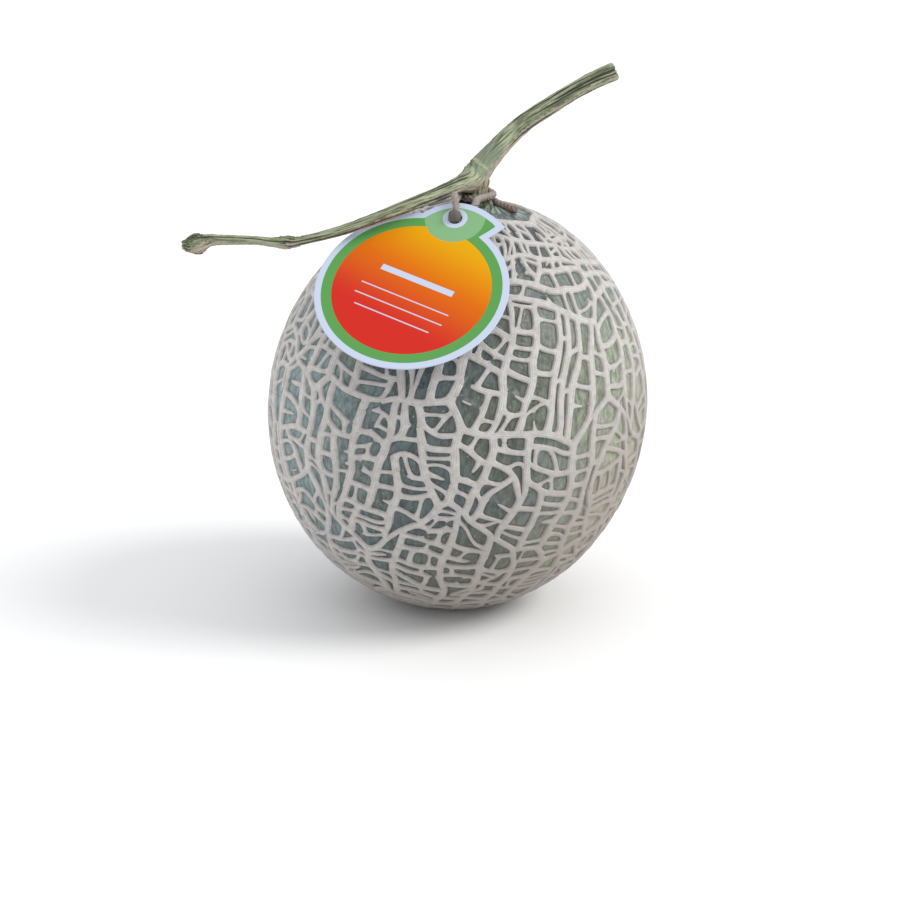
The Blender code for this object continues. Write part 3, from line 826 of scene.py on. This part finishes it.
def tube(route, sides):
    """A capped tube along rows of (x, y, z, radius), as a bmesh."""
    curve = bpy.data.curves.new("route", "CURVE")
    curve.dimensions = "3D"
    curve.use_fill_caps = True
    curve.bevel_depth = 1.0
    curve.bevel_resolution = (sides - 4) // 2
    spline = curve.splines.new("POLY")
    spline.points.add(len(route) - 1)
    for point, (x, y, z, radius) in zip(spline.points, route):
        point.co = (x, y, z, 1)
        point.radius = radius
    made = taken_from(add_object("route", curve))
    bmesh.ops.remove_doubles(made, verts=made.verts, dist=0.001 * MM)
    bmesh.ops.recalc_face_normals(made, faces=made.faces)
    return made


def add_part(joined, part):
    """Moves one bmesh into another."""
    mesh = bpy.data.meshes.new("part")
    part.to_mesh(mesh)
    part.free()
    joined.from_mesh(mesh)
    bpy.data.meshes.remove(mesh)


def grown_together(parts, voxel):
    """Several bmesh bodies as one skin, through a voxel remesh."""
    joined = bmesh.new()
    for part in parts:
        add_part(joined, part)
    guide = add_shape("joined_parts", joined)
    remesh = guide.modifiers.new("skin", "REMESH")
    remesh.mode = "VOXEL"
    remesh.voxel_size = voxel
    return taken_from(guide)


def furrow_at(swirl, length):
    """How deep the furrows are at a place on the vine, as a share of its radius, and how much painted shade
    they get.
    """
    deepest = 0.0
    darkest = 0.0
    for angle, spread, depth in VINE_FURROWS:
        middle = angle + 0.3 * noise.noise(Vector((length * 0.02, 7.0 * angle, 0.0)))
        gap = (swirl - middle + math.pi) % (2 * math.pi) - math.pi
        there = ease(-0.45, 0.05, noise.noise(Vector((length * 0.025, 3.0 * angle, 5.0))))
        there *= ease(3.0, 13.0, abs(length - NODE_AT))
        groove = there * math.exp(-((gap / spread) ** 2))
        deepest = max(deepest, depth * groove)
        darkest = max(darkest, groove)
    return deepest, darkest


def vine_body():
    """The vine and its stalk as one skin, with ribs, furrows and wrinkles along it."""
    vine_rows = smooth_route(from_stem_end(VINE_ROUTE), ROUTE_STEP)
    stalk_rows = smooth_route(from_stem_end(STALK_ROUTE), ROUTE_STEP)
    scar_rows = smooth_route(from_stem_end(LEAF_SCAR), ROUTE_STEP)
    skin = grown_together([tube(rows, 16) for rows in (vine_rows, stalk_rows, scar_rows)], VINE_VOXEL)
    all_ways = {"use_axis_x": True, "use_axis_y": True, "use_axis_z": True}
    for _ in range(VINE_SMOOTHINGS):
        bmesh.ops.smooth_vert(skin, verts=skin.verts, factor=0.5, **all_ways)
    skin.normal_update()
    rows = np.array([list(row) for row in vine_rows + stalk_rows])
    steps = np.linalg.norm(np.diff(rows[:, :3], axis=0), axis=1)
    along = np.concatenate(([0.0], np.cumsum(steps))) / MM
    ahead = np.gradient(rows[:, :3], axis=0)
    for start, end in ((0, len(vine_rows)), (len(vine_rows), len(rows))):
        ahead[start:end] = np.gradient(rows[start:end, :3], axis=0)
    ahead /= np.linalg.norm(ahead, axis=1, keepdims=True)
    side = np.cross(ahead, np.array([0.0, 1.0, 0.0]))
    side /= np.linalg.norm(side, axis=1, keepdims=True)
    over = np.cross(side, ahead)
    grain = skin.verts.layers.float_vector.new("grain")
    furrow_shade = skin.verts.layers.float.new("furrow_shade")
    edge = skin.verts.layers.float.new("edge")
    smooth = skin.verts.layers.float.new("smooth")
    moves = []
    for vert in skin.verts:
        offset = np.array(vert.co) - rows[:, :3]
        near = int(np.argmin(np.linalg.norm(offset, axis=1) - 0.5 * rows[:, 3]))
        turn = math.atan2(offset[near] @ over[near], offset[near] @ side[near])
        radius = rows[near, 3]
        length = along[near]
        swirl = turn + VINE_TWIST * length
        ring = Vector((math.cos(swirl), math.sin(swirl), 0))
        depth, groove = furrow_at(swirl, length)
        broad = noise.noise(Vector((ring.x * 1.1, ring.y * 1.1, length * 0.035)))
        fine = noise.noise(Vector((ring.x * 3.2, ring.y * 3.2, length * 0.08)))
        finer = noise.noise(Vector((ring.x * 8.0, ring.y * 8.0, length * 0.25)))
        crumple = 0.0
        if near < len(vine_rows):
            at_bend = math.exp(-(((length - BEND_AT) / BEND_SPREAD) ** 2))
            crumple = max(1 - ease(*CRUMPLED_TIP, length), at_bend)
        rough = (0.07 + 0.28 * crumple) * fine + (0.08 + 0.25 * crumple) * finer
        lift = radius * (0.06 + 0.14 * broad + rough - depth)
        moves.append((vert, vert.normal * lift))
        vert[grain] = (ring.x, ring.y, length)
        crease = math.exp(-(((length - CREASE_AT - 1.5 * math.sin(turn)) / CREASE_SPREAD) ** 2))
        # Painted shade: the furrows, and the hollows of the crumpled tip and bend, are marked to be painted
        # nearly black.
        vert[furrow_shade] = max(groove, crumple * ease(0.0, 0.35, -finer - 0.4 * fine))
        # Painted light and shade: the skin is marked browner the more it faces away from LIT_SIDE; on the
        # crumpled tip and at the bend the papery brown is real.
        vert[edge] = 0.5 * crumple - vert.normal.dot(LIT_SIDE)
        if near < len(vine_rows):
            vert[smooth] = 1 - ease(4.0, 11.0, abs(length - NODE_AT - 4.0)) + crease
    for vert, move in moves:
        vert.co += move
    for face in skin.faces:
        face.smooth = True
    return skin


VINE_GREEN = (0.062, 0.080, 0.034, 1)
VINE_PALE = (0.335, 0.375, 0.235, 1)
VINE_BROWN = (0.40, 0.33, 0.26, 1)
# The next colour is painted shade, for the furrows and the crumpled hollows.
VINE_FURROW_SHADE = (0.018, 0.020, 0.012, 1)
VINE_NODE = (0.170, 0.215, 0.150, 1)


def vine_finish():
    finish, tree, shader = new_finish("ribbed_vine", 0.65)
    grain = painted(tree, "grain", "Vector")
    furrow_shade = painted(tree, "furrow_shade")
    smooth = painted(tree, "smooth")
    streaks = noisy(tree, drawn_out(tree, grain, (3.0, 3.0, 0.07)), 2.2, 5.0, 0.65)
    wood = noisy(tree, drawn_out(tree, grain, (1.0, 1.0, 0.05)), 1.6, 3.0)
    flecks = noisy(tree, drawn_out(tree, grain, (2.0, 2.0, 0.35)), 2.0, 4.0, 0.7)
    paper_and_painted_light = sums(tree, "MULTIPLY_ADD", painted(tree, "edge"), 0.28, flecks)
    colour = tinted(tree, VINE_GREEN, VINE_PALE, streaks, 0.36, 0.60)
    colour = tinted(tree, colour, VINE_GREEN, wood, 0.50, 0.66, 0.75)
    colour = tinted(tree, colour, VINE_NODE, smooth, 0.0, 1.0, 0.75)
    colour = tinted(tree, colour, VINE_PALE, smooth, 1.1, 1.8, 0.8)
    # The papery brown: real on the crumpled tip and at the bend, and painted light and shade where the skin
    # faces away from LIT_SIDE.
    colour = tinted(tree, colour, VINE_BROWN, paper_and_painted_light, 0.53, 0.61, 0.85)
    # Painted shade: the furrows and the crumpled hollows are painted nearly black.
    colour = tinted(tree, colour, VINE_FURROW_SHADE, furrow_shade, 0.25, 0.75, 0.95)
    coat(tree, shader, colour, streaks, 0.6, 0.35 * MM)
    return finish


place_piece("cut_vine", vine_body(), vine_finish(), "stem")


# The hang tag: a die-cut card disc with a leaf-shaped lug, printed on its outer face. The print is a white
# border, a green ring and lug with a paler patch round the punched hole, and a disc that runs from yellow
# to red, with plain rules to write on.
TAG_RADIUS = 33.2 * MM
TAG_THICKNESS = 0.6 * MM
TAG_GAP = 0.45 * MM
NET_HEIGHT = 1.3 * MM
TAG_FACING_UP = math.radians(48.9)
TAG_FACING_LEFT = math.radians(7.9)
TAG_ROLL = math.radians(-23.8)
TAG_TOUCH = Vector((4.8, 16.4)) * MM
TAG_HOLE = Vector((-1.8, 33.2)) * MM
TAG_HOLE_RADIUS = 2.5 * MM
TAG_ARC_SIDES = 160
HOLE_SIDES = 48
LUG_SIDES = 24
LUG_START = Vector((-13.3, 30.4)) * MM
LUG_BEND = Vector((-5.1, 47.1)) * MM
LUG_TIP = Vector((15.6, 37.3)) * MM
LUG_UNDERSIDE = Vector((14.4, 33.8)) * MM
LUG_END = Vector((12.8, 30.6)) * MM
TAG_BORDER = 2.3 * MM
TAG_EDGE = 0.12 * MM


def tag_frame():
    """Places the tag's frame so that its back lies on the net where the rind faces the same way."""
    out = Vector((
        -math.sin(TAG_FACING_LEFT) * math.cos(TAG_FACING_UP),
        -math.cos(TAG_FACING_LEFT) * math.cos(TAG_FACING_UP),
        math.sin(TAG_FACING_UP),
    ))
    level = Vector((math.cos(TAG_FACING_LEFT), -math.sin(TAG_FACING_LEFT), 0))
    along = level * math.cos(TAG_ROLL) + out.cross(level) * math.sin(TAG_ROLL)
    up = out.cross(along)
    local = LEAN.inverted() @ out
    radii = Vector((FRUIT_RADIUS, FRUIT_RADIUS, FRUIT_HALF_LENGTH))
    direction = (local * radii).normalized()
    lift = NET_HEIGHT + TAG_GAP + TAG_THICKNESS / 2
    origin = rind_point(direction, 0.0) + out * lift - along * TAG_TOUCH.x - up * TAG_TOUCH.y
    placed = Matrix((along, up, out)).transposed().to_4x4()
    placed.translation = origin
    return placed


def bent_line(start, bend, end, sides):
    """Points on a curve that starts towards bend and ends coming from it, without the last one."""
    points = []
    for k in range(sides):
        t = k / sides
        points.append(start * (1 - t) ** 2 + bend * 2 * t * (1 - t) + end * t**2)
    return points


def tag_outline():
    """The card's cut edge: the disc from the lug's left foot round to its right foot, then the lug."""
    first = math.atan2(LUG_START.y, LUG_START.x)
    last = math.atan2(LUG_END.y, LUG_END.x)
    turn = 2 * math.pi - (first - last)
    points = []
    for k in range(TAG_ARC_SIDES):
        angle = first + turn * k / TAG_ARC_SIDES
        points.append(Vector((math.cos(angle), math.sin(angle))) * TAG_RADIUS)
    points += bent_line(LUG_END, LUG_UNDERSIDE, LUG_TIP, LUG_SIDES // 2)
    return points + bent_line(LUG_TIP, LUG_BEND, LUG_START, LUG_SIDES)


def inner_outline(outline, border):
    """The outline drawn again, everywhere the border's width further in."""
    drawn = []
    for before, point, after in zip(outline[-1:] + outline[:-1], outline, outline[1:] + outline[:1]):
        first = (point - before).normalized()
        second = (after - point).normalized()
        inwards = Vector((-first.y - second.y, first.x + second.x)).normalized()
        drawn.append(point + inwards * border / inwards.dot(Vector((-first.y, first.x))))
    kept = []
    for place in drawn:
        nearest = border
        for start, end in zip(outline, outline[1:] + outline[:1]):
            side = end - start
            share = min(1.0, max(0.0, (place - start).dot(side) / side.length_squared))
            nearest = min(nearest, (place - start - side * share).length)
        if nearest > 0.99 * border:
            kept.append(place)
    return kept


def loop_of(card, points, height):
    """A closed line of edges at one height."""
    corners = [card.verts.new((point.x, point.y, height)) for point in points]
    return corners, [card.edges.new(pair) for pair in zip(corners, corners[1:] + corners[:1])]


def tag_body():
    """The card with its edges rounded, its hole punched, and where each point is on the print."""
    outline = tag_outline()
    card = bmesh.new()
    outer_edges = loop_of(card, outline, TAG_THICKNESS / 2)[1]
    inner, inner_edges = loop_of(card, inner_outline(outline, TAG_BORDER), TAG_THICKNESS / 2)
    bmesh.ops.triangle_fill(card, use_beauty=True, edges=outer_edges + inner_edges)
    for side in card.faces:
        side.material_index = 1
    card.faces.new(inner)
    grown = bmesh.ops.extrude_face_region(card, geom=card.faces[:])
    lowered = [part for part in grown["geom"] if isinstance(part, bmesh.types.BMVert)]
    bmesh.ops.translate(card, verts=lowered, vec=(0, 0, -TAG_THICKNESS))
    bmesh.ops.recalc_face_normals(card, faces=card.faces)
    for side in card.faces:
        if side.calc_center_median().z < 0.4 * TAG_THICKNESS:
            side.material_index = 1
    rims = []
    for edge in card.edges:
        upright = abs(edge.verts[0].co.z - edge.verts[1].co.z) > TAG_THICKNESS / 2
        if not upright and any(abs(side.normal.z) < 0.5 for side in edge.link_faces):
            rims.append(edge)
    bmesh.ops.bevel(card, geom=rims, offset=TAG_EDGE, segments=2, profile=0.5, affect="EDGES", material=-1)
    guide = add_shape("card", card)
    punch = bmesh.new()
    placed = Matrix.Translation((TAG_HOLE.x, TAG_HOLE.y, 0))
    bmesh.ops.create_cone(
        punch, cap_ends=True, segments=HOLE_SIDES, radius1=TAG_HOLE_RADIUS, radius2=TAG_HOLE_RADIUS,
        depth=4 * TAG_THICKNESS, matrix=placed,
    )
    cutter = add_shape("punch", punch)
    cut = guide.modifiers.new("hole", "BOOLEAN")
    cut.operation = "DIFFERENCE"
    cut.object = cutter
    card = taken_from(guide)
    bpy.data.objects.remove(cutter)
    bmesh.ops.triangulate(card, faces=card.faces)
    where = card.verts.layers.float_vector.new("print")
    for vert in card.verts:
        vert[where] = vert.co / MM
    border = card.faces.layers.float.new("border")
    for side in card.faces:
        side[border] = side.material_index
        side.material_index = 0
    card.transform(tag_frame())
    return card


TAG_WHITE = (0.48, 0.54, 0.67, 1)
TAG_GREEN = (0.094, 0.290, 0.076, 1)
TAG_PALE_GREEN = (0.200, 0.386, 0.190, 1)
TAG_YELLOW = (0.66, 0.34, 0.002, 1)
TAG_ORANGE = (0.61, 0.14, 0.003, 1)
TAG_RED = (0.53, 0.024, 0.015, 1)
PRINT_RADIUS = 27.3
HOLE_RING_RADIUS = 4.3
HOLE_PATCH_RADIUS = 10.5
PRINT_BLUR = 0.06
RULE_BLUR = 0.05

# Each rule's height over the disc's middle, its thickness and half its length, in mm.
RULES = ((4.0, 2.4, 14.0), (-4.5, 0.45, 17.0), (-9.0, 0.45, 17.0), (-13.5, 0.45, 14.5))


def tag_finish():
    finish, tree, shader = new_finish("printed_card", 0.42)
    shader.inputs["Specular IOR Level"].default_value = 0.06
    place = painted(tree, "print", "Vector")
    axes = axes_of(tree, place)
    flat = vector_of(tree, axes[0], axes[1], 0.0)
    radius = add_node(tree, "VectorMath", {0: flat}, operation="LENGTH").outputs["Value"]
    slope = sums(tree, "MULTIPLY_ADD", axes[0], 0.12, sums(tree, "MULTIPLY", axes[1], 0.98))
    warm = tinted(tree, TAG_RED, TAG_ORANGE, slope, -16.0, 12.0)
    warm = tinted(tree, warm, TAG_YELLOW, slope, 4.0, 28.0)
    for height, thick, half_length in RULES:
        off = sums(tree, "ABSOLUTE", sums(tree, "SUBTRACT", axes[1], height))
        within = stepped(tree, off, thick / 2 + RULE_BLUR, thick / 2 - RULE_BLUR)
        sideways = sums(tree, "ABSOLUTE", axes[0])
        reach = stepped(tree, sideways, half_length + RULE_BLUR, half_length - RULE_BLUR)
        warm = mixed(tree, sums(tree, "MULTIPLY", within, reach), warm, TAG_WHITE)
    colour = tinted(tree, warm, TAG_GREEN, radius, PRINT_RADIUS - PRINT_BLUR, PRINT_RADIUS + PRINT_BLUR)
    middle = (TAG_HOLE.x / MM, TAG_HOLE.y / MM, 0)
    hole = add_node(tree, "VectorMath", {0: flat, 1: middle}, operation="DISTANCE")
    for reach, paint in ((HOLE_PATCH_RADIUS, TAG_PALE_GREEN), (HOLE_RING_RADIUS, TAG_WHITE)):
        colour = tinted(tree, colour, paint, hole.outputs["Value"], reach + PRINT_BLUR, reach - PRINT_BLUR)
    colour = mixed(tree, painted(tree, "border"), colour, TAG_WHITE)
    coat(tree, shader, colour, noisy(tree, place, 1.6, 4.0, 0.6), 0.08, 0.1 * MM)
    return finish


place_piece("hang_tag", tag_body(), tag_finish(), "tag")


# The twine that ties the tag to the stalk: three twisted plies of dry plant fibre. It goes round the back
# of the stalk, under the left arm, through the tag's hole, where a knot holds it, up behind the tag and once
# more round the stalk. In front of the stalk a further turn shows.
TWINE_RADIUS = 1.3 * MM
PLY_RADIUS = 0.7 * MM
PLY_OFFSET = 0.64 * MM
PLY_PITCH = 5.5 * MM
TWINE_STEP = 0.7 * MM
KNOT_RADIUS = 2.2 * MM
KNOT_PLACE = Vector((-2.1, 33.4, 1.3)) * MM
PLIES = 3
PLY_SIDES = 10
TWINE_ROUND_STALK = (
    (8.7, -8.7, -1.2),
    (6.4, -6.4, -0.7),
    (3.2, -2.8, 0.2),
    (0.8, 1.2, 1.05),
    (-2.4, 4.7, 1.95),
    (-7.7, 4.2, 3.4),
    (-10.8, -1.4, 3.9),
    (-12.2, -9.6, 3.4),
    (-12.8, -17.0, 3.8),
)
TWINE_THROUGH_TAG = (
    (-6.0, 40.5, 2.7),
    (-3.2, 36.6, 2.3),
    (-1.9, 34.1, 1.3),
    (-1.5, 33.3, -0.4),
    (-0.9, 34.5, -2.1),
    (-0.2, 38.5, -2.6),
    (0.4, 43.2, -1.9),
)
TWINE_LAST_TURN = (
    (-5.4, -17.0, 3.6),
    (-3.0, -9.0, 3.4),
    (-0.2, -4.7, 3.3),
    (0.7, 0.6, 3.6),
    (-1.8, 3.9, 4.4),
    (-4.8, 4.9, 5.0),
)
TWINE_FRONT_TURN = (
    (-9.9, 2.6, 3.3),
    (-10.4, -1.6, 2.9),
    (-8.6, -5.0, 2.6),
    (-5.2, -6.2, 2.7),
    (-1.6, -5.1, 3.1),
    (0.3, -1.6, 3.5),
)


def twine_routes():
    """The twine's whole way, and the part of a further turn that shows in front of the stalk."""
    top = rind_point((0, 0, 1), 0.0)
    placed = tag_frame()
    middle = [placed @ (Vector(point) * MM) for point in TWINE_THROUGH_TAG]
    first, last, front = (
        [top + Vector(point) * MM for point in points]
        for points in (TWINE_ROUND_STALK, TWINE_LAST_TURN, TWINE_FRONT_TURN)
    )
    return [
        smooth_route([(*point, TWINE_RADIUS) for point in points], TWINE_STEP)
        for points in (first + middle + last, front)
    ]


def add_plies(joined, route, strand):
    """The plies, each a tube that winds round the twine's middle line."""
    rows = [row.xyz for row in route]
    ahead = [(after - before).normalized() for before, after in zip(rows[:1] + rows, rows[1:] + rows[-1:])]
    side = ahead[0].orthogonal().normalized()
    frames = []
    length = 0.0
    for k, (row, forward) in enumerate(zip(rows, ahead)):
        if k:
            length += (row - rows[k - 1]).length
        side = (side - forward * side.dot(forward)).normalized()
        frames.append((row, side.copy(), forward.cross(side), length))
    before = len(joined.verts)
    for ply in range(PLIES):
        winding = []
        for row, across, over, gone in frames:
            turn = 2 * math.pi * (gone / PLY_PITCH + ply / PLIES)
            place = row + (across * math.cos(turn) + over * math.sin(turn)) * PLY_OFFSET
            winding.append((*place, PLY_RADIUS))
        add_part(joined, tube(winding, PLY_SIDES))
    for vert in joined.verts[before:]:
        near = min(range(len(frames)), key=lambda k: (frames[k][0] - vert.co).length_squared)
        row, across, over, gone = frames[near]
        offset = vert.co - row
        vert[strand] = (offset.dot(across) / MM, offset.dot(over) / MM, gone / MM)


def twine_body():
    """The twine and the knot that holds it in the tag's hole."""
    joined = bmesh.new()
    strand = joined.verts.layers.float_vector.new("strand")
    dark = joined.verts.layers.float.new("dark")
    placed = tag_frame()
    for route in twine_routes():
        add_plies(joined, route, strand)
    knot = bmesh.ops.create_icosphere(joined, subdivisions=4, radius=KNOT_RADIUS)["verts"]
    for vert in knot:
        wound = math.sin(vert.co.x * 2.6 / MM + 2.0 * vert.co.y / MM)
        vert[strand] = (vert.co.x / MM, vert.co.y / MM, 50.0 + vert.co.z / MM)
        vert[dark] = 1.0
        vert.co *= 1 + 0.05 * wound + 0.12 * noise.noise(vert.co * 400.0)
        vert.co = placed @ (vert.co + KNOT_PLACE)
    joined.normal_update()
    for face in joined.faces:
        face.smooth = True
    return joined


TWINE_GREY = (0.17, 0.14, 0.125, 1)
TWINE_PALE = (0.40, 0.345, 0.315, 1)
TWINE_BROWN = (0.20, 0.13, 0.11, 1)
TWINE_SHADE = (0.075, 0.065, 0.055, 1)


def twine_finish():
    finish, tree, shader = new_finish("plant_twine", 0.9)
    strand = painted(tree, "strand", "Vector")
    fibres = noisy(tree, drawn_out(tree, strand, (4.0, 4.0, 0.8)), 1.5, 4.0, 0.7)
    colour = tinted(tree, TWINE_GREY, TWINE_PALE, fibres, 0.35, 0.65)
    colour = tinted(tree, colour, TWINE_BROWN, axes_of(tree, strand)[2], 9.0, 4.0, 0.8)
    colour = mixed(tree, sums(tree, "MULTIPLY", painted(tree, "dark"), 0.8), colour, TWINE_SHADE)
    coat(tree, shader, colour, fibres, 0.8, 0.2 * MM)
    return finish


place_piece("tag_twine", twine_body(), twine_finish(), "twine")


# The studio: a pale seamless floor, a big soft light from the upper right, even white light from all
# round, and the camera at the height and distance that the picture was taken from.
CAMERA_ELEVATION = math.radians(16.0)
CAMERA_DISTANCE = 0.700
PIXELS_PER_MM = 2.694
FRAME_PIXELS = 900
FRUIT_MIDDLE_X = 458.2
FRUIT_MIDDLE_Y = 402.7
SENSOR = 36.0
FLOOR_HALF = 12.0
FLOOR_GREY = (0.86, 0.86, 0.86, 1)
KEY_FROM = (0.75, -0.15, 0.65)
KEY_STRENGTH = 1.9
KEY_SPREAD = math.radians(28.0)
KEY_COLOUR = (1.0, 0.98, 0.95)
SKY_COLOUR = (0.97, 0.985, 1.0, 1)


def add_camera():
    back = Vector((0, -math.cos(CAMERA_ELEVATION), math.sin(CAMERA_ELEVATION)))
    right = Vector((1, 0, 0))
    up = Vector((0, math.sin(CAMERA_ELEVATION), math.cos(CAMERA_ELEVATION)))
    aim = fruit_centre()
    aim += right * (FRAME_PIXELS / 2 - FRUIT_MIDDLE_X) / PIXELS_PER_MM * MM
    aim -= up * (FRAME_PIXELS / 2 - FRUIT_MIDDLE_Y) / PIXELS_PER_MM * MM
    lens = bpy.data.cameras.new("camera")
    lens.sensor_width = SENSOR
    lens.lens = PIXELS_PER_MM * CAMERA_DISTANCE / MM / FRAME_PIXELS * SENSOR
    camera = add_object("camera", lens)
    camera.matrix_world = Matrix((right, up, back)).transposed().to_4x4()
    camera.location = aim + back * CAMERA_DISTANCE
    bpy.context.scene.camera = camera


def add_light():
    """Light from one side, as soft as from a panel that spreads over that angle, and the white all round."""
    key = bpy.data.lights.new("key", "SUN")
    key.energy = KEY_STRENGTH
    key.angle = KEY_SPREAD
    key.color = KEY_COLOUR
    add_object("key", key).rotation_euler = Vector(KEY_FROM).to_track_quat("Z", "Y").to_euler()
    world = bpy.data.worlds.new("soft_white")
    world.use_nodes = True
    world.node_tree.nodes["Background"].inputs["Color"].default_value = SKY_COLOUR
    world.node_tree.nodes["Background"].inputs["Strength"].default_value = 1.0
    bpy.context.scene.world = world
    bpy.context.scene.view_settings.view_transform = "Standard"


def add_floor():
    floor = bmesh.new()
    bmesh.ops.create_grid(floor, x_segments=1, y_segments=1, size=FLOOR_HALF)
    ground = add_shape("floor", floor)
    finish, tree, shader = new_finish("pale_floor", 0.8)
    shader.inputs["Base Color"].default_value = FLOOR_GREY
    ground.data.materials.append(finish)


add_camera()
add_floor()
add_light()
